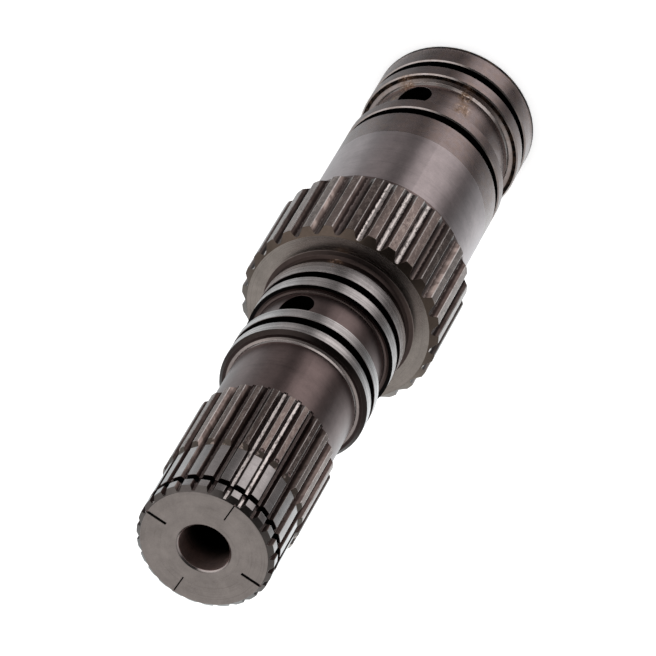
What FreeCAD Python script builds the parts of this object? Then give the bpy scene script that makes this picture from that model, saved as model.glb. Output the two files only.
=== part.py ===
import FreeCAD, Part
import math
import os
import Sketcher

# Power take-off shaft: one turned, splined and drilled steel shaft.
# It stands on its plain end, +Z runs up its axis to the small splined end,
# and the origin is the centre of the end it stands on. Sizes in millimetres.
# Positions along the shaft are distances from the splined end face.

os.makedirs("parts", exist_ok=True)
document = FreeCAD.newDocument("power_take_off_shaft")

DIMENSIONS = {
    "overall_length": 236.8,
    # small spline
    "face_radius": 18.5,
    "land_radius": 20.0,
    "ramp_start": 22.0,
    "ramp_end": 23.8,
    "crest_radius": 20.86,
    "crest_end": 51.6,
    "spline_floor_radius": 18.8,
    "spline_space_end": 54.2,
    "spline_teeth": 26,
    "spline_space_angle": 5.97,
    "spline_floor_half": 1.24,
    "spline_land_half": 3.25,
    "spline_crest_half": 4.67,
    "clip_start": 4.4,
    "clip_end": 6.8,
    "clip_radius": 18.2,
    # neck and oil collar
    "neck_radius": 19.1,
    "collar_face": 78.0,
    "collar_radius": 22.1,
    "collar_chamfer": 1.1,
    "relief_start": 115.8,
    "relief_radius": 21.2,
    "ring_floor_radius": 19.1,
    "ring_one_start": 82.8,
    "ring_one_end": 86.1,
    "near_recess_start": 90.0,
    "near_recess_end": 103.2,
    "near_recess_radius": 19.6,
    "ring_two_start": 107.5,
    "ring_two_end": 110.6,
    # gear, with a plain rim behind its teeth
    "gear_face": 120.8,
    "gear_back": 154.6,
    "gear_rim_length": 1.2,
    "gear_rim_radius": 28.0,
    "gear_tip_radius": 29.94,
    "gear_edge_radius": 27.7,
    "gear_floor_radius": 28.1,
    "gear_teeth": 28,
    "gear_space_angle": -0.3,
    "gear_floor_half": 0.55,
    "gear_root_radius": 28.31,
    "gear_root_half": 1.45,
    "gear_pitch_radius": 29.0,
    "gear_pitch_half": 2.72,
    "gear_tip_half": 4.1,
    # journal and far oil lands
    "journal_radius": 25.1,
    "journal_end": 185.5,
    "band_radius": 25.07,
    "end_chamfer": 0.5,
    "far_ring_floor_radius": 21.9,
    "ring_three_start": 196.3,
    "ring_three_end": 200.0,
    "far_recess_start": 204.4,
    "far_recess_end": 219.75,
    "far_recess_radius": 22.0,
    "ring_four_start": 224.4,
    "ring_four_end": 227.95,
    "groove_bevel": 0.43,
    # hollow feet of the shoulders
    "collar_foot": 1.0,
    "near_recess_foot": 0.7,
    "far_recess_foot": 1.5,
    "gear_foot": 1.8,
    "back_foot": 0.8,
    # bore, oil drillings and driver marks
    "bore_radius": 7.5,
    "bore_chamfer": 0.6,
    "bore_depth": 34.0,
    "gallery_radius": 4.0,
    "gallery_chamfer": 1.0,
    "gallery_length": 145.0,
    "oil_hole_radius": 5.2,
    "oil_hole_angle": 38.4,
    "near_oil_hole": 96.3,
    "far_oil_hole": 212.3,
    "mark_angle": -4.2,
    "mark_inner": 12.4,
    "mark_depth": 0.35,
    "wide_mark_width": 0.85,
    "thin_mark_width": 0.4,
    # knocks in the tops of the small spline
    "dent_ball_radius": 1.1,
    "dent_depth": 0.35,
}

# Where the knocks are: distance from the splined end face, and degrees round the axis.
DENTS = ((24.4, -0.95), (24.5, -14.8), (24.3, -28.6))


def write_dimensions():
    sheet = document.addObject("Spreadsheet::Sheet", "dims")
    for row, (name, value) in enumerate(DIMENSIONS.items(), start=1):
        sheet.set("A%d" % row, name)
        sheet.set("B%d" % row, str(value))
        sheet.setAlias("B%d" % row, name)
    document.recompute()


def origin_plane(owner, role):
    return next(item for item in owner.Origin.OriginFeatures if item.Role == role)


def height(distance):
    """Height above the standing end, for a distance from the splined end face."""
    return "dims.overall_length - (%s)" % distance


def close_outline(sketch, corner_count):
    """Draws one closed ring of lines whose corners the constraints then place."""
    for index in range(corner_count):
        following = (index + 1) % corner_count
        start = FreeCAD.Vector(index + 1, 2 * index + 1, 0)
        end = FreeCAD.Vector(following + 1, 2 * following + 1, 0)
        sketch.addGeometry(Part.LineSegment(start, end), False)
    for index in range(corner_count):
        following = (index + 1) % corner_count
        sketch.addConstraint(Sketcher.Constraint("Coincident", index, 2, following, 1))


def place_corner(sketch, index, across, along):
    """Ties one corner to the sheet; "0" puts it on the axis itself."""
    directions = (("DistanceX", "across", across, -2), ("DistanceY", "along", along, -1))
    for kind, word, expression, axis in directions:
        if expression == "0":
            sketch.addConstraint(Sketcher.Constraint("PointOnObject", index, 1, axis))
            continue
        name = "%s_%d" % (word, index)
        number = sketch.addConstraint(Sketcher.Constraint(kind, -1, 1, index, 1, 1.0 + index))
        sketch.renameConstraint(number, name)
        sketch.setExpression("Constraints.%s" % name, expression)


def section_sketch(owner, name, corners):
    """Half section beside the shaft axis; corners are (radius, height)."""
    sketch = owner.newObject("Sketcher::SketchObject", name)
    sketch.AttachmentSupport = [(origin_plane(owner, "XZ_Plane"), "")]
    sketch.MapMode = "FlatFace"
    close_outline(sketch, len(corners))
    for index, (radius, level) in enumerate(corners):
        place_corner(sketch, index, radius, level)
    return sketch


def hollow_foot(radius, shoulder, size, cones):
    """Corners of the hollow quarter round between a neck and the shoulder beyond it.

    It is turned as a few short cones, from the neck out to the shoulder.
    """
    corners = []
    for index in range(cones + 1):
        turn = 0.5 * math.pi * index / cones
        out = "%s + %s * %.4f" % (radius, size, 1 - math.cos(turn))
        short = "%s - %s * %.4f" % (shoulder, size, 1 - math.sin(turn))
        corners.append((out, height(short)))
    return corners


def turned_blank(owner):
    """The stepped outline of the shaft with both gear blanks, before any cutting."""
    face_bevel = "dims.gear_tip_radius - dims.gear_edge_radius"
    back_bevel = "dims.gear_tip_radius - dims.gear_rim_radius"
    rim_start = "dims.gear_back - dims.gear_rim_length"
    collar_foot = hollow_foot("dims.neck_radius", "dims.collar_face", "dims.collar_foot", 2)
    gear_foot = hollow_foot("dims.relief_radius", "dims.gear_face", "dims.gear_foot", 2)
    corners = [
        ("0", height("0")),
        ("dims.face_radius", height("0")),
        ("dims.land_radius", height("dims.land_radius - dims.face_radius")),
        ("dims.land_radius", height("dims.ramp_start")),
        ("dims.crest_radius", height("dims.ramp_end")),
        ("dims.crest_radius", height("dims.crest_end")),
        ("dims.neck_radius", height("dims.crest_end + dims.crest_radius - dims.neck_radius")),
        *collar_foot,
        ("dims.collar_radius - dims.collar_chamfer", height("dims.collar_face")),
        ("dims.collar_radius", height("dims.collar_face + dims.collar_chamfer")),
        ("dims.collar_radius", height("dims.relief_start")),
        ("dims.relief_radius", height("dims.relief_start")),
        *gear_foot,
        ("dims.gear_edge_radius", height("dims.gear_face")),
        ("dims.gear_tip_radius", height("dims.gear_face + %s" % face_bevel)),
        ("dims.gear_tip_radius", height("%s - (%s)" % (rim_start, back_bevel))),
        ("dims.gear_rim_radius", height(rim_start)),
        ("dims.gear_rim_radius", height("dims.gear_back")),
        ("dims.journal_radius + dims.back_foot", height("dims.gear_back")),
        ("dims.journal_radius", height("dims.gear_back + dims.back_foot")),
        ("dims.journal_radius", height("dims.journal_end")),
        ("dims.band_radius", height("dims.journal_end")),
        ("dims.band_radius", "dims.end_chamfer"),
        ("dims.band_radius - dims.end_chamfer", "0"),
        ("0", "0"),
    ]
    sketch = section_sketch(owner, "blank_outline", corners)
    turned = owner.newObject("PartDesign::Revolution", "turned_blank")
    turned.Profile = sketch
    turned.ReferenceAxis = (sketch, ["V_Axis"])
    turned.Angle = 360
    document.recompute()


def cut_round(owner, name, corners):
    """Turns a half section out of the shaft."""
    sketch = section_sketch(owner, name + "_outline", corners)
    cut = owner.newObject("PartDesign::Groove", name)
    cut.Profile = sketch
    cut.ReferenceAxis = (sketch, ["V_Axis"])
    cut.Angle = 360
    document.recompute()


def cut_groove(owner, name, start, end, floor, mouth, bevel=None, foot=None):
    """One turned groove; a bevel and a hollow foot belong to its far wall."""
    outside = "%s + 1" % mouth
    far_corner = [(floor, height(end))]
    if foot:
        far_corner = hollow_foot(floor, end, foot, 2)
    far_mouth = [(outside, height(end))]
    if bevel:
        far_mouth = [
            ("%s - %s" % (mouth, bevel), height(end)),
            (outside, height("%s + %s + 1" % (end, bevel))),
        ]
    near_wall = [(outside, height(start)), (floor, height(start))]
    cut_round(owner, name, near_wall + far_corner + far_mouth)


def cut_grooves(owner):
    """Circlip groove, four sealing ring grooves and the two oil recesses."""
    cut_groove(owner, "circlip_groove", "dims.clip_start", "dims.clip_end",
               "dims.clip_radius", "dims.land_radius")
    for word in ("one", "two"):
        cut_groove(owner, "ring_groove_" + word,
                   "dims.ring_%s_start" % word, "dims.ring_%s_end" % word,
                   "dims.ring_floor_radius", "dims.collar_radius")
    for word in ("three", "four"):
        cut_groove(owner, "ring_groove_" + word,
                   "dims.ring_%s_start" % word, "dims.ring_%s_end" % word,
                   "dims.far_ring_floor_radius", "dims.band_radius", "dims.groove_bevel")
    cut_groove(owner, "near_oil_recess", "dims.near_recess_start", "dims.near_recess_end",
               "dims.near_recess_radius", "dims.collar_radius",
               foot="dims.near_recess_foot")
    cut_groove(owner, "far_oil_recess", "dims.far_recess_start", "dims.far_recess_end",
               "dims.far_recess_radius", "dims.band_radius",
               "dims.groove_bevel", "dims.far_recess_foot")


def level_sketch(owner, name, level, angle):
    """Sketch across the shaft at a height, its own X axis turned to an angle."""
    sketch = owner.newObject("Sketcher::SketchObject", name)
    sketch.AttachmentSupport = [(origin_plane(owner, "XY_Plane"), "")]
    sketch.MapMode = "FlatFace"
    turn = FreeCAD.Rotation(FreeCAD.Vector(0, 0, 1), DIMENSIONS[angle])
    sketch.AttachmentOffset = FreeCAD.Placement(FreeCAD.Vector(0, 0, 1), turn)
    sketch.setExpression("AttachmentOffset.Base.z", level)
    sketch.setExpression("AttachmentOffset.Rotation.Angle", "dims.%s * 1 deg" % angle)
    return sketch


def repeat_round(owner, name, feature, count):
    """Repeats a cut around the shaft axis."""
    pattern = owner.newObject("PartDesign::PolarPattern", name)
    pattern.Originals = [feature]
    pattern.Axis = (origin_plane(owner, "Z_Axis"), [""])
    pattern.Angle = 360
    pattern.setExpression("Occurrences", count)
    owner.Tip = pattern
    document.recompute()


def cut_teeth(owner, name, flank, top, depth, angle, count):
    """Cuts one tooth space, mirrored about its own centre line, then repeats it."""
    sketch = level_sketch(owner, name + "_space_outline", top, angle)
    side_count = len(flank)
    close_outline(sketch, 2 * side_count)
    for index, (radius, half_angle) in enumerate(flank):
        across = "%s * cos(%s * 1 deg)" % (radius, half_angle)
        along = "%s * sin(%s * 1 deg)" % (radius, half_angle)
        place_corner(sketch, index, across, along)
        mirrored = 2 * side_count - 1 - index
        sketch.addConstraint(Sketcher.Constraint("Symmetric", index, 1, mirrored, 1, -1))
    space = owner.newObject("PartDesign::Pocket", name + "_space")
    space.Profile = sketch
    space.Type = 0
    space.setExpression("Length", depth)
    document.recompute()
    repeat_round(owner, name + "_spaces", space, count)


def cut_both_splines(owner):
    beyond = "dims.crest_radius + 1"
    spline_flank = [
        ("dims.spline_floor_radius", "dims.spline_floor_half"),
        ("dims.land_radius", "dims.spline_land_half"),
        ("dims.crest_radius", "dims.spline_crest_half"),
        ("(%s)" % beyond, "(dims.spline_crest_half * 1.3)"),
    ]
    cut_teeth(owner, "small_spline", spline_flank, height("0"),
              "dims.spline_space_end", "spline_space_angle", "dims.spline_teeth")
    gear_flank = [
        ("dims.gear_floor_radius", "dims.gear_floor_half"),
        ("dims.gear_root_radius", "dims.gear_root_half"),
        ("dims.gear_pitch_radius", "dims.gear_pitch_half"),
        ("dims.gear_tip_radius", "dims.gear_tip_half"),
        ("(dims.gear_tip_radius + 1)", "(dims.gear_tip_half * 1.35)"),
    ]
    cut_teeth(owner, "gear", gear_flank, height("dims.gear_face - 1"),
              "dims.gear_back - dims.gear_face + 2", "gear_space_angle", "dims.gear_teeth")


def drill_axis(owner):
    """Countersunk blind bore in the splined end and the oil gallery from the other end."""
    point = "* tan(31 deg)"
    cut_round(owner, "end_bore", [
        ("0", height("-1")),
        ("dims.bore_radius + dims.bore_chamfer", height("-1")),
        ("dims.bore_radius + dims.bore_chamfer", height("0")),
        ("dims.bore_radius", height("dims.bore_chamfer")),
        ("dims.bore_radius", height("dims.bore_depth")),
        ("0", height("dims.bore_depth + dims.bore_radius %s" % point)),
    ])
    cut_round(owner, "oil_gallery", [
        ("0", "0"),
        ("dims.gallery_radius + dims.gallery_chamfer", "0"),
        ("dims.gallery_radius", "dims.gallery_chamfer"),
        ("dims.gallery_radius", "dims.gallery_length"),
        ("0", "dims.gallery_length + dims.gallery_radius %s" % point),
    ])


def drill_oil_holes(owner):
    """Radial holes from the two recesses into the gallery."""
    angle = math.radians(DIMENSIONS["oil_hole_angle"])
    outward = FreeCAD.Vector(math.cos(angle), math.sin(angle), 0)
    for word in ("near", "far"):
        level = DIMENSIONS["overall_length"] - DIMENSIONS[word + "_oil_hole"]
        hole = owner.newObject("PartDesign::SubtractiveCylinder", word + "_oil_hole")
        turn = FreeCAD.Rotation(FreeCAD.Vector(0, 0, 1), outward)
        hole.Placement = FreeCAD.Placement(FreeCAD.Vector(0, 0, level), turn)
        hole.setExpression("Radius", "dims.oil_hole_radius")
        hole.setExpression("Height", "dims.journal_radius + 5")
        hole.setExpression("Placement.Base.z", height("dims.%s_oil_hole" % word))
        document.recompute()


def cut_marks(owner, name, side, width):
    """Two opposite straight marks pressed into the end face by the driving centre."""
    sketch = level_sketch(owner, name + "_outline", height("0"), "mark_angle")
    close_outline(sketch, 4)
    half = "dims.%s * 0.5" % width
    reach = ("dims.mark_inner", "dims.land_radius")
    corners = [(reach[0], half), (reach[1], half)]
    if side == "Y":
        corners = [(half, reach[0]), (half, reach[1])]
    mirror = -1 if side == "X" else -2
    for index, (across, along) in enumerate(corners):
        place_corner(sketch, index, across, along)
        sketch.addConstraint(Sketcher.Constraint("Symmetric", index, 1, 3 - index, 1, mirror))
    mark = owner.newObject("PartDesign::Pocket", name)
    mark.Profile = sketch
    mark.Type = 0
    mark.setExpression("Length", "dims.mark_depth")
    document.recompute()
    repeat_round(owner, name + "_pair", mark, "2")


def knock_dents(owner):
    """Shallow round dents where the tops of the small spline have been knocked."""
    sunk = "dims.crest_radius + dims.dent_ball_radius - dims.dent_depth"
    for number, (distance, turn) in enumerate(DENTS, start=1):
        dent = owner.newObject("PartDesign::SubtractiveSphere", "dent_%d" % number)
        dent.setExpression("Radius", "dims.dent_ball_radius")
        dent.setExpression("Placement.Base.x", "(%s) * cos(%s * 1 deg)" % (sunk, turn))
        dent.setExpression("Placement.Base.y", "(%s) * sin(%s * 1 deg)" % (sunk, turn))
        dent.setExpression("Placement.Base.z", height(distance))
        document.recompute()


def check(owner):
    """Stops the build if any feature failed or the shaft isn't one sound solid."""
    for item in document.Objects:
        if any(word in ("Invalid", "Error") for word in item.State):
            raise RuntimeError("feature %s failed: %s" % (item.Name, item.State))
    shape = owner.Shape
    if shape.isNull() or not shape.isValid() or len(shape.Solids) != 1:
        raise RuntimeError("the shaft is not one valid solid")
    box = shape.BoundBox
    print("solids %d volume %.0f mm3 faces %d" % (len(shape.Solids), shape.Volume, len(shape.Faces)))
    print("box %.2f %.2f %.2f to %.2f %.2f %.2f" % (
        box.XMin, box.YMin, box.ZMin, box.XMax, box.YMax, box.ZMax))


def build_shaft():
    shaft = document.addObject("PartDesign::Body", "pto_shaft")
    shaft.Label = "pto_shaft"
    turned_blank(shaft)
    cut_grooves(shaft)
    drill_axis(shaft)
    drill_oil_holes(shaft)
    cut_both_splines(shaft)
    knock_dents(shaft)
    cut_marks(shaft, "thin_marks", "X", "thin_mark_width")
    cut_marks(shaft, "wide_marks", "Y", "wide_mark_width")
    return shaft


write_dimensions()
power_take_off_shaft = build_shaft()
document.recompute()
check(power_take_off_shaft)
power_take_off_shaft.Shape.exportStep("parts/%s.step" % power_take_off_shaft.Label)
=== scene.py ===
"""Power take-off shaft: finish of the steel, studio and camera.

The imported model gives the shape. This script gives it the look of the photograph: ground lands and
journal, dark oiled steel between them, turning marks, worn teeth, dirt and rust. Sizes on the shaft
are in millimetres and sizes of the stage are in metres. Angles are degrees from +X towards +Y.
"""
import math
from collections import namedtuple

import bpy
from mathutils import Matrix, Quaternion, Vector


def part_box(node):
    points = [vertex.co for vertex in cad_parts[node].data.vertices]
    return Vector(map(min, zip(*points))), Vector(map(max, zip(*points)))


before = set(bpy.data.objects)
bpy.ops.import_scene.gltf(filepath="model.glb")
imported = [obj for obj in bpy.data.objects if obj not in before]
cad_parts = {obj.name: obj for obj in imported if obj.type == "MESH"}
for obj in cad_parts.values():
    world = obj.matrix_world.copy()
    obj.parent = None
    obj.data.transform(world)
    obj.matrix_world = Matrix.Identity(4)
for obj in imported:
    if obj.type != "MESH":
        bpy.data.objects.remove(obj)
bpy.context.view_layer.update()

MM = 0.001
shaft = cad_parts["pto_shaft"]
low_corner, high_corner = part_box("pto_shaft")
LENGTH_MM = (high_corner.z - low_corner.z) / MM

# Stations along the shaft from the splined end face, and radii.
FACE_DEPTH = 0.1
FACE_RIM = (-0.5, 1.6)
MARK_DEPTH = (FACE_DEPTH, 0.5)
MARK_RADII = (8.4, 18.3)
BORE_RADIUS = 7.6
BORE_CHAMFER_RADIUS = 8.3
# Depths over which painted shade darkens the bore to near black.
BORE_LIT_DEPTH = (4.0, 13.0)
RAMP = (21.95, 23.85)
COLLAR = 78.0
COLLAR_BEVEL = 1.2
STEP = 103.2
STEP_BEVEL = 0.9
STEP_BLACK_RADII = (20.7, 21.1)
LAND_END = 115.8
GEAR_FACE = 120.8
GEAR_CHAMFER = 2.5
RELIEF = (LAND_END + 0.05, GEAR_FACE - 0.05)
RELIEF_RADIUS = 23.2
JOURNAL_START = 155.5
JOURNAL_END = 185.5
JOURNAL_EDGE_REACH = 0.12
FAR_BEVELS = (197.0, 230.0)
FAR_RECESS_END = 219.75
FAR_RIM = 235.2

NEAR_LANDS = (
    # start, end, least radius
    (1.55, 21.9, 19.8),
    (79.15, 90.0, 21.9),
    (STEP, LAND_END, 21.9),
)
GROOVES = (
    # start, end, radius of the mouth; the first one holds the circlip
    (4.4, 6.8, 19.9),
    (82.8, 86.1, 22.0),
    (107.5, 110.6, 22.0),
    (196.3, 200.0, 24.9),
    (224.4, 227.95, 24.9),
)
OIL_HOLES = (
    # start, end, radius of the recess floor that the hole opens in
    (91.0, 101.6, 19.6),
    (207.0, 217.6, 22.0),
)

# Rings of teeth: space is the angle of the middle of one tooth space, and root and edge are degrees
# from there to the end of the space's floor and to the edge of the tooth's top.
Ring = namedtuple("Ring", "start end floor top teeth space root edge")
SPLINE = Ring(start=0.2, end=54.2, floor=18.8, top=20.86, teeth=26, space=5.97, root=1.3, edge=4.67)
GEAR = Ring(start=GEAR_FACE, end=153.4, floor=28.1, top=29.94, teeth=28, space=-0.3, root=1.4, edge=4.1)

# Bands of a tooth: millimetres from its floor or top, and degrees from the root's end or the edge.
BELOW_FLOOR = 0.15
ROOT_HEIGHT = 0.375
EDGE_DEPTH = 0.5
TOP_DEPTH = 0.2
BESIDE_ROOT = 0.7
EDGE_WIDTH = (-0.35, 0.25)

# Painted light and shade on the teeth differ round the shaft, repeating in sectors. These are degrees
# from the middle of a sector: where painted shade on the spaces' floors and a painted flank highlight
# set in.
PAINTED_LIGHT_SECTORS = 4
ROOT_SHADE_FROM = (15, 21)
FLANK_HIGHLIGHT_FROM = (34, 42)

# Finishes: colour of the metal, its roughness, and how far its turning marks draw out a highlight
# along the shaft.
DARK_STEEL = ((0.215, 0.155, 0.148, 1), 0.30, 0.50)
FAR_STEEL = ((0.335, 0.262, 0.256, 1), 0.26, 0.40)
JOURNAL_STEEL = ((0.480, 0.400, 0.402, 1), 0.30, 0.75)
LAND_STEEL = ((0.660, 0.600, 0.592, 1), 0.27, 0.75)
SPLINE_LAND_STEEL = ((0.500, 0.450, 0.444, 1), 0.21, 0.20)
FACE_STEEL = ((0.375, 0.330, 0.312, 1), 0.40, 0.10)
GEAR_FACE_STEEL = ((0.360, 0.318, 0.292, 1), 0.26, 0.10)
RIM_STEEL = ((0.150, 0.132, 0.124, 1), 0.30, 0.10)
RAMP_STEEL = ((0.115, 0.092, 0.078, 1), 0.36, 0.10)
STEP_STEEL = ((0.120, 0.092, 0.086, 1), 0.26, 0.10)
RELIEF_STEEL = ((0.090, 0.066, 0.060, 1), 0.30, 0.30)
# Near-black painted shade on the collar's chamfer.
SHADED_BEVEL_STEEL = ((0.050, 0.038, 0.035, 1), 0.30, 0.10)
BORE_STEEL = ((0.560, 0.430, 0.400, 1), 0.60, 0.00)
CUT_BEVEL = ((0.560, 0.490, 0.470, 1), 0.16, 0.10)
TOOTH_END = ((0.135, 0.102, 0.082, 1), 0.28, 0.10)
TOOTH_TOP = ((0.250, 0.186, 0.170, 1), 0.22, 0.10)
TOOTH_EDGE = ((0.720, 0.640, 0.620, 1), 0.24, 0.00)
# Dark steel of the flanks, darkened further as painted shade; also laid as painted shade on the floors
# of the spaces in some sectors.
TOOTH_FLANK_AND_SHADE = ((0.080, 0.048, 0.042, 1), 0.34, 0.10)
# Worn steel of the contact patches, also laid on the flanks in some sectors as a painted highlight.
TOOTH_CONTACT_AND_HIGHLIGHT = ((0.620, 0.480, 0.435, 1), 0.30, 0.10)
# Painted shade deep in the tooth spaces.
TOOTH_DEEP_SHADE = ((0.028, 0.014, 0.012, 1), 0.40, 0.00)
TOOTH_ROOT = ((0.860, 0.760, 0.730, 1), 0.28, 0.10)
ROOT_DIRT = ((0.040, 0.024, 0.022, 1), 0.45, 0.00)
PALE_SCUFF = ((0.560, 0.450, 0.400, 1), 0.42, 0.00)
# Near black: soot in the pits and marks, and painted shade in the grooves, oil holes, bore, on some
# walls and on the far rim.
SOOT_AND_SHADE = ((0.010, 0.009, 0.009, 1), 0.50, 0.00)
RUST = ((0.380, 0.240, 0.160, 1), 0.52, 0.00)
DARK_RUST = ((0.045, 0.024, 0.018, 1), 0.60, 0.00)
PALE_RUST = ((0.900, 0.700, 0.600, 1), 0.32, 0.00)

# Where bevels and walls that face the splined end have a finish of their own.
BEVELS = (
    # start, end, finish
    (*FACE_RIM, RIM_STEEL),
    (*RAMP, RAMP_STEEL),
    (COLLAR - COLLAR_BEVEL, COLLAR, CUT_BEVEL),
    # The collar's chamfer is near black with painted shade.
    (COLLAR, COLLAR + COLLAR_BEVEL, SHADED_BEVEL_STEEL),
    (STEP - STEP_BEVEL, STEP, STEP_STEEL),
    (GEAR_FACE, GEAR_FACE + GEAR_CHAMFER, TOOTH_END),
    (*FAR_BEVELS, CUT_BEVEL),
)
WALLS = (
    # station, reach to either side, share, finish
    # Near-black painted shade on the collar's wall and on the far recess's end wall.
    (COLLAR, 0.05, 0.7, SOOT_AND_SHADE),
    (STEP, 0.1, 1.0, STEP_STEEL),
    (GEAR_FACE, 0.1, 1.0, GEAR_FACE_STEEL),
    (FAR_RECESS_END, 0.1, 1.0, SOOT_AND_SHADE),
)

# Marks that are drawn out round or along the shaft, and specks that are alike in all directions.
# Start and full are the noise levels at which a pattern sets in and is complete; a pattern without
# them keeps all the noise's levels.
MARKS_ROUGHNESS = 0.6
Marks = namedtuple("Marks", "per_radian per_mm octaves start full", defaults=(None, None))
TOOTH_SCUFFS = Marks(26.0, 0.35, 4.0, start=0.50, full=0.62)
FLANK_CONTACT = Marks(9.0, 0.22, 4.0, start=0.42, full=0.60)
SPACE_DIRT = Marks(30.0, 0.50, 3.0, start=0.54, full=0.62)
RAGGED_ROOT = Marks(34.0, 0.70, 4.0)
FINE_TURNING = Marks(1.5, 4.0, 3.0)
BROAD_TURNING = Marks(1.0, 0.9, 3.0)
DRAG_MARKS = Marks(0.6, 2.4, 2.0, start=0.60, full=0.68)
GRINDING_RINGS = Marks(0.25, 1.3, 2.0, start=0.35, full=0.65)

Specks = namedtuple("Specks", "per_mm octaves roughness start full", defaults=(None, None))
RAMP_SCUFFS = Specks(0.45, 4.0, 0.60, start=0.56, full=0.62)
TOOTH_PITS = Specks(1.1, 4.0, 0.70, start=0.56, full=0.66)
RUST_PATCHES = Specks(0.60, 5.0, 0.75, start=0.40, full=0.52)
RUST_PITS = Specks(0.95, 4.0, 0.70, start=0.57, full=0.62)
RUST_GRAINS = Specks(1.3, 4.0, 0.70, start=0.54, full=0.59)
THIN_RUST = Specks(0.50, 4.0, 0.60, start=0.42, full=0.62)
BLOTCHES = Specks(0.16, 4.0, 0.60)
MOTTLE = Specks(0.55, 4.0, 0.65)
GRAIN = Specks(2.2, 4.0, 0.70)

# Shares at which wear, dirt and painted light and shade cover the steel under them. A pair is the
# share where the pattern is absent and where it is complete, or by sector the share before and after
# the change, and for the painted shade in the circlip groove the share in a tooth space and on a tooth.
TOP_WEAR = 0.45
RAMP_WEAR = 0.8
ROOT_DIRT_SHARE = 0.6
SHADED_SPACE_SHARE = 0.9
CONTACT_BY_PATCH = (0.40, 1.0)
HIGHLIGHT_BY_SECTOR = (0.22, 0.90)
DEEP_SHADE_BY_SECTOR = (1.0, 0.55)
EDGE_BY_SCUFF = (0.90, 0.50)
CIRCLIP_SHADE = (0.45, 1.0)
JOURNAL_EDGE_SHARE = 0.6
FAR_RUST_SHARE = 0.20

# Degrees by which the ends of a space's bright floor wander, and the inner part of a rust stain that
# it covers in full.
ROOT_END_SWING = (-1.5, 1.5)
STAIN_CORE = 0.35

# How far the patterns change the brightness of the steel. The swings are added, and the rings left
# by dragged chips and by grinding multiply it.
BLOTCH_SWING = (0.72, 1.28)
MOTTLE_SWING = (-0.16, 0.16)
GRAIN_SWING = (-0.14, 0.14)
TURNING_SWING = (-0.10, 0.10)
DRAG_SHADE = (1.0, 0.88)
GRINDING_SHADE = (0.72, 1.12)
ROUGHNESS_SWING = (-0.05, 0.05)

# Bumps too fine for the solid: the turning's and the grain's part of them, their depth, the rounding
# of edges, and the quarter turn that draws highlights along the shaft instead of round it.
TURNING_BUMPS = (0.0, 0.5)
GRAIN_BUMPS = (0.0, 0.3)
BUMP_DEPTH = 0.015
BUMP_STRENGTH = 0.22
EDGE_ROUNDING = 0.22
ROUNDING_SAMPLES = 6
QUARTER_TURN = 0.25

# Which way a surface faces, by the part of its normal that points up or outward.
WALL_UP = (0.90, 0.97)
BEVEL_UP = (0.24, 0.93)
UPRIGHT = (-0.3, 0.5)
LAND_OUT = (0.90, 0.97)
FLANK_ASIDE = (0.93, 0.88)

RUST_STAINS = (
    # along, angle, half length, half angle, share
    (217.6, 1.0, 3.6, 8.0, 0.95),
    (211.5, -2.0, 6.0, 9.0, 0.70),
    (217.8, 50.0, 3.2, 10.0, 0.90),
    (213.5, 57.0, 2.4, 6.0, 0.70),
    (118.0, 24.0, 1.6, 8.0, 0.75),
    (114.2, 23.0, 0.6, 1.6, 0.90),
    (206.0, 0.0, 0.7, 1.8, 0.90),
)

# The camera of the photograph, fitted to the shaft.
CAMERA_ELEVATION = 52.63
CAMERA_ROLL = 149.78
CAMERA_DISTANCE = 1.883
CAMERA_AIM = Vector((0.0, 0.001, 0.1223))
CAMERA_LENS = 358.6
CAMERA_SENSOR = 36.0
CAMERA_CLIP = 20.0

# What the shaft's wall mirrors: brightness of the table by the angle of the wall round the shaft,
# close to the foot and farther out; where the close levels are dimmer, that is a painted shadow of
# the shaft. The camera stands at angle 0.
TABLE_GLOW = (
    # angle, close, far
    (-90, 1.10, 1.30),  # light edge
    (-66, 1.05, 1.20),
    (-58, 0.84, 0.90),
    (-50, 0.60, 0.63),
    (-44, 0.46, 0.42),
    (-38, 0.30, 0.27),
    (-34, 0.17, 0.15),  # dark stripe
    (-27, 0.16, 0.15),
    (-23, 0.36, 0.38),
    (-17, 0.66, 0.70),
    (-12, 0.82, 0.82),  # light stripe
    (-3, 0.84, 0.84),
    (3, 0.68, 0.68),
    (7, 0.54, 0.38),
    (11, 0.28, 0.15),
    (17, 0.14, 0.16),  # dark stripe
    (21, 0.17, 0.30),
    (30, 0.18, 0.35),
    (39, 0.19, 0.36),
    (44, 0.27, 0.54),
    (48, 0.33, 0.70),  # light side, dimmer close to the foot
    (66, 0.46, 0.70),
    (78, 0.56, 0.85),
    (90, 0.60, 0.90),
)
COOL_FROM = 36
COOL_TINT = (0.92, 1.00, 1.02)
PLAIN_TINT = (1.0, 1.0, 1.0)
TABLE_START = 0.026
TABLE_CHANGE = (0.034, 0.042)
TABLE_REACH = 1.6
CARD_HEIGHT = 0.0003

# What bevels and faces mirror: brightness of the room by compass angle, and of the ceiling on the
# camera's side and behind the shaft. Heights and depths are parts of a direction of length 1.
ROOM_GLOW = (
    # angle, brightness
    (-180, 0.55),
    (-140, 0.50),
    (-100, 0.45),
    (-66, 0.35),
    (-54, 0.06),
    (14, 0.04),
    (24, 0.55),
    (40, 0.90),
    (85, 0.85),
    (110, 0.55),
    (130, 0.48),
    (180, 0.55),
)
CEILING_FROM = (0.64, 0.78)
CEILING_FRONT = (0.03, 0.03, 0.03, 1)
CEILING_BACK = (0.62, 0.62, 0.61, 1)
CEILING_SPLIT = (0.2, -0.2)

FLOOR_REACH = 4.0
FLOOR_PAPER = (0.9, 0.9, 0.9, 1)
FLOOR_LIFT = 0.42
WHITE = (1, 1, 1, 1)


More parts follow.
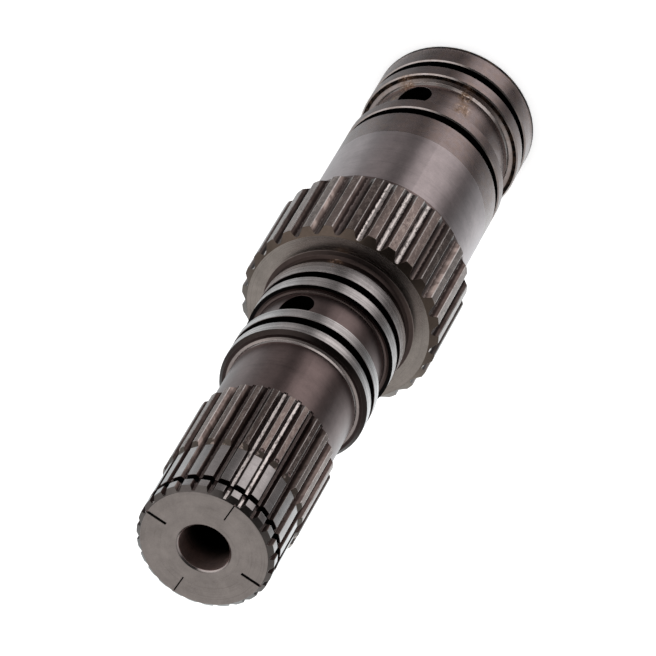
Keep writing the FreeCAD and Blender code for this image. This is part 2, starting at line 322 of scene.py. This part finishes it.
class Graph:
    """Short calls for building a node tree; an input may be a number, a tuple or a socket."""

    def __init__(self, tree):
        self.tree = tree
        tree.nodes.clear()

    def node(self, kind, inputs=(), **settings):
        made = self.tree.nodes.new(kind)
        for name, value in settings.items():
            setattr(made, name, value)
        for key, value in dict(inputs).items():
            self.feed(made.inputs[key], value)
        return made

    def feed(self, socket, value):
        if isinstance(value, bpy.types.NodeSocket):
            self.tree.links.new(value, socket)
        else:
            socket.default_value = value

    def output(self, kind, shader):
        """Ends the tree with the shader's first output as its surface."""
        self.node(kind, inputs={"Surface": shader.outputs[0]})

    def math(self, operation, first, second=0.0, third=0.0):
        made = self.node("ShaderNodeMath", operation=operation)
        for socket, value in zip(made.inputs, (first, second, third)):
            self.feed(socket, value)
        return made.outputs[0]

    def total(self, first, *others):
        """The sum of numbers and sockets."""
        for other in others:
            first = self.math("ADD", first, other)
        return first

    def both(self, first, *others):
        """Where all the masks are; a number among them is a share of the rest."""
        for other in others:
            first = self.math("MULTIPLY", first, other)
        return first

    def either(self, first, *others):
        """Where any of the masks is."""
        for other in others:
            first = self.math("MAXIMUM", first, other)
        return first

    def invert(self, mask):
        return self.math("SUBTRACT", 1.0, mask)

    def step(self, value, start, full):
        """0 on the side of start, 1 on the side of full, and smooth between them."""
        made = self.node("ShaderNodeMapRange", interpolation_type="SMOOTHSTEP", inputs={
            "Value": value, "From Min": start, "From Max": full, "To Min": 0.0, "To Max": 1.0})
        return made.outputs["Result"]

    def band(self, value, start, end, soft):
        """1 between start and end, 0 outside, with soft edges."""
        rise = self.step(value, start - soft, start + soft)
        fall = self.step(value, end + soft, end - soft)
        return self.both(rise, fall)

    def scale(self, value, low, high):
        """Maps 0..1 to low..high."""
        return self.math("MULTIPLY_ADD", value, high - low, low)

    def vector(self, x, y, z):
        return self.node("ShaderNodeCombineXYZ", inputs={"X": x, "Y": y, "Z": z}).outputs[0]

    def split(self, vector):
        return self.node("ShaderNodeSeparateXYZ", inputs={0: vector}).outputs

    def length(self, x, y):
        return self.math("SQRT", self.math("MULTIPLY_ADD", x, x, self.math("MULTIPLY", y, y)))

    def compass(self, x, y):
        """Angle from +X towards +Y, -180 to 180 degrees."""
        return self.math("MULTIPLY", self.math("ARCTAN2", y, x), 180 / math.pi)

    def noise(self, vector, scale, octaves, roughness):
        made = self.node("ShaderNodeTexNoise", inputs={
            "Vector": vector, "Scale": scale, "Detail": octaves, "Roughness": roughness})
        return made.outputs[0]

    def blend(self, mask, first, second):
        """Colour: first where the mask is 0, second where it is 1."""
        made = self.node("ShaderNodeMix", data_type="RGBA", inputs={0: mask, 6: first, 7: second})
        return made.outputs[2]

    def mix(self, mask, first, second):
        """Number: first where the mask is 0, second where it is 1."""
        made = self.node("ShaderNodeMix", data_type="FLOAT", inputs={0: mask, 2: first, 3: second})
        return made.outputs[0]

    def dim(self, colour, amount):
        """Colour times a number."""
        made = self.node("ShaderNodeVectorMath", operation="SCALE", inputs={
            0: colour, "Scale": amount})
        return made.outputs[0]

    def ramp(self, value, stops):
        """Grey ramp through (place 0..1, level) stops."""
        made = self.node("ShaderNodeValToRGB", inputs={"Fac": value})
        elements = made.color_ramp.elements
        while len(elements) < len(stops):
            elements.new(0.5)
        for element, (place, level) in zip(elements, stops):
            element.position = place
            element.color = (level, level, level, 1.0)
        return made.outputs["Color"]


class Shape:
    """Where a point of the shaft is, which way it faces, and patterns that follow the surface."""

    def __init__(self, graph):
        self.graph = graph
        coordinates = graph.node("ShaderNodeTexCoord").outputs
        x, y, z = [graph.math("MULTIPLY", part, 1 / MM) for part in graph.split(coordinates["Object"])]
        self.place = graph.vector(x, y, z)
        self.along = graph.math("SUBTRACT", LENGTH_MM, z)
        self.radius = graph.length(x, y)
        self.angle = graph.compass(x, y)
        self.outward = [graph.math("DIVIDE", part, self.radius) for part in (x, y)]
        self.profile = graph.math("SUBTRACT", self.along, self.radius)
        east, north = self.outward
        normal = graph.split(coordinates["Normal"])
        self.faces_out = graph.math("MULTIPLY_ADD", normal["X"], east, graph.math(
            "MULTIPLY", normal["Y"], north))
        self.faces_up = normal["Z"]

    def within(self, start, end, soft=0.04):
        """1 between two stations along the shaft."""
        return self.graph.band(self.along, start, end, soft)

    def near(self, station, reach):
        """1 close to a station along the shaft."""
        return self.within(station - reach, station + reach)

    def outside(self, radius, soft=0.05):
        """1 farther from the axis than a radius."""
        return self.graph.step(self.radius, radius - soft, radius + soft)

    def inside(self, radius, soft=0.05):
        """1 closer to the axis than a radius."""
        return self.graph.step(self.radius, radius + soft, radius - soft)

    def space_angle(self, ring):
        """Degrees from the middle of the nearest tooth space."""
        return self.off_middle(ring.teeth, ring.space)

    def off_middle(self, sectors, middle=0.0):
        """Degrees from the middle of the nearest of some equal sectors."""
        graph = self.graph
        half_sector = 180 / sectors
        off = graph.math("SUBTRACT", self.angle, middle)
        return graph.math("ABSOLUTE", graph.math("WRAP", off, half_sector, -half_sector))

    def spot(self, along, angle, half_length, half_angle):
        """1 in the middle of a soft oval."""
        graph = self.graph
        off_along = graph.math("DIVIDE", graph.math("SUBTRACT", self.along, along), half_length)
        off_angle = graph.math("DIVIDE", graph.math("SUBTRACT", self.angle, angle), half_angle)
        return graph.step(graph.length(off_along, off_angle), 1.0, STAIN_CORE)

    def marks(self, marks):
        """Noise that is drawn out round or along the shaft."""
        graph = self.graph
        east, north = [graph.math("MULTIPLY", part, marks.per_radian) for part in self.outward]
        vector = graph.vector(east, north, graph.math("MULTIPLY", self.profile, marks.per_mm))
        return self.levels(graph.noise(vector, 1.0, marks.octaves, MARKS_ROUGHNESS), marks)

    def specks(self, specks):
        """Noise that is alike in all directions."""
        noise = self.graph.noise(self.place, specks.per_mm, specks.octaves, specks.roughness)
        return self.levels(noise, specks)

    def levels(self, noise, pattern):
        """A mask from the noise, or the noise itself for a pattern without levels."""
        if pattern.start is None:
            return noise
        return self.graph.step(noise, pattern.start, pattern.full)


class Finish:
    """Colour, roughness and drawn-out highlight of the steel, one finish laid over the other."""

    def __init__(self, graph, ground):
        self.graph = graph
        self.colour, self.roughness, self.drawn = ground

    def lay(self, mask, finish, share=1.0):
        """Covers the mask's part of the surface, wholly or to a share."""
        graph = self.graph
        colour, roughness, drawn = finish
        cover = mask if share == 1.0 else graph.both(mask, share)
        self.colour = graph.blend(cover, self.colour, colour)
        self.roughness = graph.mix(cover, self.roughness, roughness)
        self.drawn = graph.mix(cover, self.drawn, drawn)


class WearAndLight:
    """Patterns of worn steel and dirt, and sectors of painted light and shade, that both rings of teeth
    share.
    """

    def __init__(self, graph, shape):
        self.scuffs = shape.marks(TOOTH_SCUFFS)
        self.pits = shape.specks(TOOTH_PITS)
        self.contact = shape.marks(FLANK_CONTACT)
        self.ragged = graph.scale(shape.marks(RAGGED_ROOT), *ROOT_END_SWING)
        self.root_dirt = shape.marks(SPACE_DIRT)
        off_sector = shape.off_middle(PAINTED_LIGHT_SECTORS)
        self.shaded_spaces = graph.step(off_sector, *ROOT_SHADE_FROM)
        self.flank_highlight = graph.step(off_sector, *FLANK_HIGHLIGHT_FROM)


class Teeth:
    """Masks for the parts of one ring of teeth."""

    def __init__(self, graph, shape, ring, wear_and_light):
        middle_radius = (ring.floor + ring.top) / 2
        in_ring = shape.within(ring.start, ring.end)
        cut = graph.both(in_ring, shape.outside(ring.floor - BELOW_FLOOR))
        turned_aside = graph.step(shape.faces_out, *FLANK_ASIDE)
        upright = graph.band(shape.faces_up, *UPRIGHT, 0.05)
        self.top = graph.both(in_ring, shape.outside(ring.top - TOP_DEPTH), graph.invert(turned_aside))
        self.flank = graph.both(cut, turned_aside, upright)
        self.deep_flank = graph.both(self.flank, shape.inside(middle_radius, 0.25))

        from_space = shape.space_angle(ring)
        edge_start, edge_end = [ring.edge + off for off in EDGE_WIDTH]
        at_edge = graph.band(from_space, edge_start, edge_end, 0.08)
        self.edge = graph.both(cut, shape.outside(ring.top - EDGE_DEPTH, 0.1), at_edge)
        ragged_angle = graph.total(from_space, wear_and_light.ragged)
        at_root = graph.step(ragged_angle, ring.root + 0.15, ring.root - 0.15)
        near_floor = shape.inside(ring.floor + ROOT_HEIGHT, 0.075)
        self.root = graph.both(cut, near_floor, at_root, upright)
        beside_root = graph.band(from_space, ring.root, ring.root + BESIDE_ROOT, 0.2)
        self.beside_root = graph.both(cut, beside_root)


def lay_teeth(graph, steel, teeth, wear_and_light):
    """Worn tops, dark flanks with worn contact patches, painted shade and a painted highlight by
    sector, bright edges, and roots clean, dirty, and in some sectors in painted shade.
    """
    steel.lay(teeth.top, TOOTH_TOP)
    steel.lay(graph.both(teeth.top, wear_and_light.scuffs), PALE_SCUFF, TOP_WEAR)
    steel.lay(graph.both(teeth.top, wear_and_light.pits), SOOT_AND_SHADE, TOP_WEAR)

    contact = graph.scale(wear_and_light.contact, *CONTACT_BY_PATCH)
    highlight_share = graph.scale(wear_and_light.flank_highlight, *HIGHLIGHT_BY_SECTOR)
    deep_shade_share = graph.scale(wear_and_light.flank_highlight, *DEEP_SHADE_BY_SECTOR)
    steel.lay(teeth.flank, TOOTH_FLANK_AND_SHADE)
    # Worn contact patches, with a painted highlight on the flanks in some sectors.
    steel.lay(graph.both(teeth.flank, contact, highlight_share), TOOTH_CONTACT_AND_HIGHLIGHT)
    # Painted shade deep in the spaces, less of it in the sectors with the painted highlight.
    steel.lay(graph.both(teeth.deep_flank, deep_shade_share), TOOTH_DEEP_SHADE)
    steel.lay(graph.both(teeth.edge, graph.scale(wear_and_light.scuffs, *EDGE_BY_SCUFF)), TOOTH_EDGE)

    steel.lay(teeth.beside_root, ROOT_DIRT, ROOT_DIRT_SHARE)
    steel.lay(teeth.root, TOOTH_ROOT)
    steel.lay(graph.both(teeth.root, wear_and_light.root_dirt), ROOT_DIRT, ROOT_DIRT_SHARE)
    # Painted shade on the floors of the spaces in some sectors.
    steel.lay(graph.both(teeth.root, wear_and_light.shaded_spaces), TOOTH_FLANK_AND_SHADE, SHADED_SPACE_SHARE)


def near_land_mask(graph, shape):
    """The bright ground lands of the splined half."""
    masks = []
    for start, end, radius in NEAR_LANDS:
        masks.append(graph.both(shape.within(start, end), shape.outside(radius)))
    return graph.both(graph.either(*masks), graph.step(shape.faces_out, *LAND_OUT))


def groove_shade_mask(graph, shape):
    """Painted shade, near black, inside the grooves; the tooth spaces have less of it in the circlip
    groove.
    """
    masks = []
    outside_bore = shape.outside(BORE_CHAMFER_RADIUS + 0.5, 0.5)
    for start, end, mouth in GROOVES:
        deep = graph.both(outside_bore, shape.inside(mouth - 0.125, 0.125))
        masks.append(graph.both(shape.within(start - 0.03, end + 0.03, 0.02), deep))
    circlip, *rings = masks
    on_tooth = graph.step(shape.space_angle(SPLINE), SPLINE.root, SPLINE.root + 0.8)
    return graph.either(graph.both(circlip, graph.scale(on_tooth, *CIRCLIP_SHADE)), *rings)


def hole_shade_mask(graph, shape):
    """Painted shade, near black, inside the oil holes."""
    masks = []
    for start, end, floor in OIL_HOLES:
        deep = shape.inside(floor - 0.225, 0.075)
        masks.append(graph.both(shape.within(start, end), deep))
    return graph.either(*masks)


def lay_ground_steel(shape, steel, near_lands, spline_lands):
    """The turned and ground stretches of the shaft."""
    steel.lay(shape.within(JOURNAL_END, LENGTH_MM + 1), FAR_STEEL)
    steel.lay(shape.within(JOURNAL_START, JOURNAL_END), JOURNAL_STEEL)
    steel.lay(near_lands, LAND_STEEL)
    steel.lay(spline_lands, SPLINE_LAND_STEEL)
    steel.lay(shape.near(JOURNAL_END, JOURNAL_EDGE_REACH), LAND_STEEL, JOURNAL_EDGE_SHARE)


def lay_bevels_and_walls(graph, shape, steel):
    """Surfaces that face the splined end, with painted shade on some walls, the collar's chamfer and
    the far rim, and the dark relief beside the large ring of teeth.
    """
    bevels_up = graph.band(shape.faces_up, *BEVEL_UP, 0.02)
    walls_up = graph.step(shape.faces_up, *WALL_UP)
    for start, end, finish in BEVELS:
        steel.lay(graph.both(bevels_up, shape.within(start, end)), finish)
    scuffs = graph.both(bevels_up, shape.within(*RAMP), shape.specks(RAMP_SCUFFS))
    steel.lay(scuffs, PALE_SCUFF, RAMP_WEAR)
    for station, reach, share, finish in WALLS:
        steel.lay(graph.both(walls_up, shape.near(station, reach)), finish, share)
    step_black_band = graph.step(shape.radius, *STEP_BLACK_RADII)
    # A near-black band at the top of the step's wall.
    steel.lay(graph.both(walls_up, shape.near(STEP, 0.1), step_black_band), SOOT_AND_SHADE)
    steel.lay(graph.both(shape.within(*RELIEF), shape.inside(RELIEF_RADIUS, 0.2)), RELIEF_STEEL)
    # Painted shade, near black, on the far end's rim where it stands on the floor.
    steel.lay(graph.step(shape.along, FAR_RIM - 0.1, FAR_RIM + 0.1), SOOT_AND_SHADE)


def lay_end_face(graph, shape, steel):
    """The splined end's face, the four marks cut in it, and the bore, darkened with depth by painted
    shade.
    """
    steel.lay(graph.step(shape.along, FACE_DEPTH, FACE_DEPTH - 0.06), FACE_STEEL)
    marks = graph.both(graph.band(shape.radius, *MARK_RADII, 0.05), shape.within(*MARK_DEPTH))
    steel.lay(marks, SOOT_AND_SHADE)
    below_face = graph.step(shape.along, FACE_DEPTH - 0.05, FACE_DEPTH + 0.05)
    chamfer = graph.step(shape.radius, BORE_CHAMFER_RADIUS, BORE_RADIUS)
    steel.lay(graph.both(below_face, chamfer), CUT_BEVEL)
    bore = graph.both(below_face, shape.inside(BORE_RADIUS - 0.025, 0.025))
    steel.lay(bore, BORE_STEEL)
    # Painted shade, near black, deeper in the bore.
    steel.lay(graph.both(bore, graph.step(shape.along, *BORE_LIT_DEPTH)), SOOT_AND_SHADE)


def lay_rust(graph, shape, steel):
    """Stains of rust with pale grains and dark pits, and a thin coppery film on the far end."""
    patches = shape.specks(RUST_PATCHES)
    grains = shape.specks(RUST_GRAINS)
    pits = shape.specks(RUST_PITS)
    for along, angle, half_length, half_angle, share in RUST_STAINS:
        stain = shape.spot(along, angle, half_length, half_angle)
        steel.lay(graph.both(stain, patches), RUST, share)
        steel.lay(graph.both(stain, grains), PALE_RUST, share)
        steel.lay(graph.both(stain, pits), DARK_RUST, share)
    far_end = shape.within(JOURNAL_END, LENGTH_MM, 0.5)
    steel.lay(graph.both(far_end, shape.specks(THIN_RUST)), RUST, FAR_RUST_SHARE)


def uneven_shade(graph, shape, grain, collar_lands):
    """How much of its colour the steel shows, from blotches down to grain and rings of grinding."""
    blotches = graph.scale(shape.specks(BLOTCHES), *BLOTCH_SWING)
    turning = graph.scale(shape.marks(BROAD_TURNING), *TURNING_SWING)
    mottle = graph.scale(shape.specks(MOTTLE), *MOTTLE_SWING)
    shade = graph.total(blotches, turning, graph.scale(grain, *GRAIN_SWING), mottle)
    drag_marks = graph.scale(shape.marks(DRAG_MARKS), *DRAG_SHADE)
    rings = graph.scale(shape.marks(GRINDING_RINGS), *GRINDING_SHADE)
    return graph.both(shade, drag_marks, graph.mix(collar_lands, 1.0, rings))


def end_in_metal(graph, shape, steel, collar_lands):
    """Ends the tree in a metal with the laid finish, uneven shade, fine bumps and rounded edges."""
    grain = shape.specks(GRAIN)
    turning = shape.marks(FINE_TURNING)
    shade = uneven_shade(graph, shape, grain, collar_lands)
    height = graph.total(graph.scale(turning, *TURNING_BUMPS), graph.scale(grain, *GRAIN_BUMPS))
    rounded = graph.node("ShaderNodeBevel", samples=ROUNDING_SAMPLES, inputs={
        "Radius": EDGE_ROUNDING * MM})
    bump = graph.node("ShaderNodeBump", inputs={
        "Strength": BUMP_STRENGTH,
        "Distance": BUMP_DEPTH * MM,
        "Height": height,
        "Normal": rounded.outputs[0],
    })
    tangent = graph.node("ShaderNodeTangent", direction_type="RADIAL", axis="Z")
    shader = graph.node("ShaderNodeBsdfPrincipled", inputs={
        "Base Color": graph.dim(steel.colour, shade),
        "Metallic": 1.0,
        "Roughness": graph.total(steel.roughness, graph.scale(turning, *ROUGHNESS_SWING)),
        "Anisotropic": steel.drawn,
        "Anisotropic Rotation": QUARTER_TURN,
        "Normal": bump.outputs[0],
        "Tangent": tangent.outputs[0],
    })
    graph.output("ShaderNodeOutputMaterial", shader)


def steel_material():
    """The shaft's only material: finishes laid over each other by where and how a surface lies."""
    material = bpy.data.materials.new("shaft_steel")
    material.use_nodes = True
    graph = Graph(material.node_tree)
    shape = Shape(graph)
    near_lands = near_land_mask(graph, shape)
    before_collar = graph.step(shape.along, COLLAR, COLLAR - 1)
    spline_lands = graph.both(near_lands, before_collar)
    collar_lands = graph.both(near_lands, graph.invert(before_collar))

    steel = Finish(graph, DARK_STEEL)
    lay_ground_steel(shape, steel, near_lands, spline_lands)
    wear_and_light = WearAndLight(graph, shape)
    for ring in (SPLINE, GEAR):
        teeth = Teeth(graph, shape, ring, wear_and_light)
        lay_teeth(graph, steel, teeth, wear_and_light)
    lay_bevels_and_walls(graph, shape, steel)
    lay_end_face(graph, shape, steel)
    lay_rust(graph, shape, steel)
    # Painted shade, near black, in the oil holes.
    steel.lay(hole_shade_mask(graph, shape), SOOT_AND_SHADE)
    # Painted shade, near black, in the grooves.
    steel.lay(groove_shade_mask(graph, shape), SOOT_AND_SHADE)
    end_in_metal(graph, shape, steel, collar_lands)
    return material


def make_world():
    """White light for dull surfaces and the floor, and a room with a ceiling for mirror-like ones."""
    world = bpy.data.worlds.new("studio")
    bpy.context.scene.world = world
    world.use_nodes = True
    world.cycles.sampling_method = "NONE"
    graph = Graph(world.node_tree)
    direction = graph.split(graph.node("ShaderNodeTexCoord").outputs["Generated"])
    heading = graph.compass(direction["X"], direction["Y"])
    stops = [(angle / 360 + 0.5, level) for angle, level in ROOM_GLOW]
    room = graph.ramp(graph.math("MULTIPLY_ADD", heading, 1 / 360, 0.5), stops)
    behind = graph.step(direction["X"], *CEILING_SPLIT)
    ceiling = graph.blend(behind, CEILING_FRONT, CEILING_BACK)
    mirrored = graph.blend(graph.step(direction["Z"], *CEILING_FROM), room, ceiling)
    glossy = graph.node("ShaderNodeLightPath").outputs["Is Glossy Ray"]
    seen = graph.blend(glossy, WHITE, mirrored)
    background = graph.node("ShaderNodeBackground", inputs={"Color": seen, "Strength": 1.0})
    graph.output("ShaderNodeOutputWorld", background)


def stage_mesh(name, points, faces):
    """A mesh of the stage with a material of its own, whose graph is returned with it."""
    mesh = bpy.data.meshes.new(name)
    mesh.from_pydata(points, [], faces)
    staged = bpy.data.objects.new(name, mesh)
    bpy.context.scene.collection.objects.link(staged)
    material = bpy.data.materials.new(name)
    material.use_nodes = True
    material.cycles.emission_sampling = "NONE"
    mesh.materials.append(material)
    return staged, Graph(material.node_tree)


def make_floor():
    """Pale paper that keeps the shaft's shadow and is lifted to white for the camera alone."""
    reach = FLOOR_REACH
    corners = [(-reach, -reach, 0), (reach, -reach, 0), (reach, reach, 0), (-reach, reach, 0)]
    _, graph = stage_mesh("floor", corners, [(0, 1, 2, 3)])
    paper = graph.node("ShaderNodeBsdfDiffuse", inputs={"Color": FLOOR_PAPER})
    seen = graph.node("ShaderNodeLightPath").outputs["Is Camera Ray"]
    lift = graph.math("MULTIPLY", seen, FLOOR_LIFT)
    glow = graph.node("ShaderNodeEmission", inputs={"Color": WHITE, "Strength": lift})
    lifted = graph.node("ShaderNodeAddShader", inputs={0: paper.outputs[0], 1: glow.outputs[0]})
    graph.output("ShaderNodeOutputMaterial", lifted)


def make_table_cards():
    """Cards that lie on the floor round the shaft and are seen only as reflections in its wall.

    Each stop starts at the wall and runs out the way the wall there mirrors the camera, so an edge
    between two cards shows as a straight line along the shaft.
    """
    points = []
    colours = []
    for angle, close, far in TABLE_GLOW:
        wall = math.radians(angle)
        start = Vector((math.cos(wall), math.sin(wall), 0)) * TABLE_START
        outward = Vector((math.cos(2 * wall), math.sin(2 * wall), 0))
        tint = COOL_TINT if abs(angle) > COOL_FROM else PLAIN_TINT
        close_end, far_start = TABLE_CHANGE
        for reach, level in ((0, close), (close_end, close), (far_start, far), (TABLE_REACH, far)):
            points.append(start + outward * reach + Vector((0, 0, CARD_HEIGHT)))
            colours += [level * part for part in tint] + [1.0]
    stops = len(TABLE_GLOW)
    per_stop = len(points) // stops
    faces = []
    for stop in range(stops):
        for step in range(per_stop - 1):
            here = stop * per_stop + step
            beside = (stop + 1) % stops * per_stop + step
            faces.append((here, here + 1, beside + 1, beside))
    cards, graph = stage_mesh("table_cards", points, faces)
    attribute = cards.data.attributes.new("glow", "FLOAT_COLOR", "POINT")
    attribute.data.foreach_set("color", colours)
    cards.visible_camera = False
    cards.visible_diffuse = False
    cards.visible_transmission = False
    cards.visible_shadow = False
    colour = graph.node("ShaderNodeAttribute", attribute_name="glow").outputs["Color"]
    glow = graph.node("ShaderNodeEmission", inputs={"Color": colour, "Strength": 1.0})
    graph.output("ShaderNodeOutputMaterial", glow)


def make_camera():
    """The photograph's camera: it looks down at the shaft from +X, rolled about its own axis."""
    elevation = math.radians(CAMERA_ELEVATION)
    back = Vector((math.cos(elevation), 0, math.sin(elevation)))
    data = bpy.data.cameras.new("camera")
    data.lens = CAMERA_LENS
    data.sensor_width = CAMERA_SENSOR
    data.clip_end = CAMERA_CLIP
    camera = bpy.data.objects.new("camera", data)
    camera.rotation_mode = "QUATERNION"
    level = back.to_track_quat("Z", "Y")
    camera.rotation_quaternion = level @ Quaternion((0, 0, 1), -math.radians(CAMERA_ROLL))
    camera.location = CAMERA_AIM + back * CAMERA_DISTANCE
    bpy.context.scene.collection.objects.link(camera)
    bpy.context.scene.camera = camera


shaft.data.materials[0] = steel_material()
make_world()
make_floor()
make_table_cards()
make_camera()
bpy.context.scene.view_settings.view_transform = "Standard"
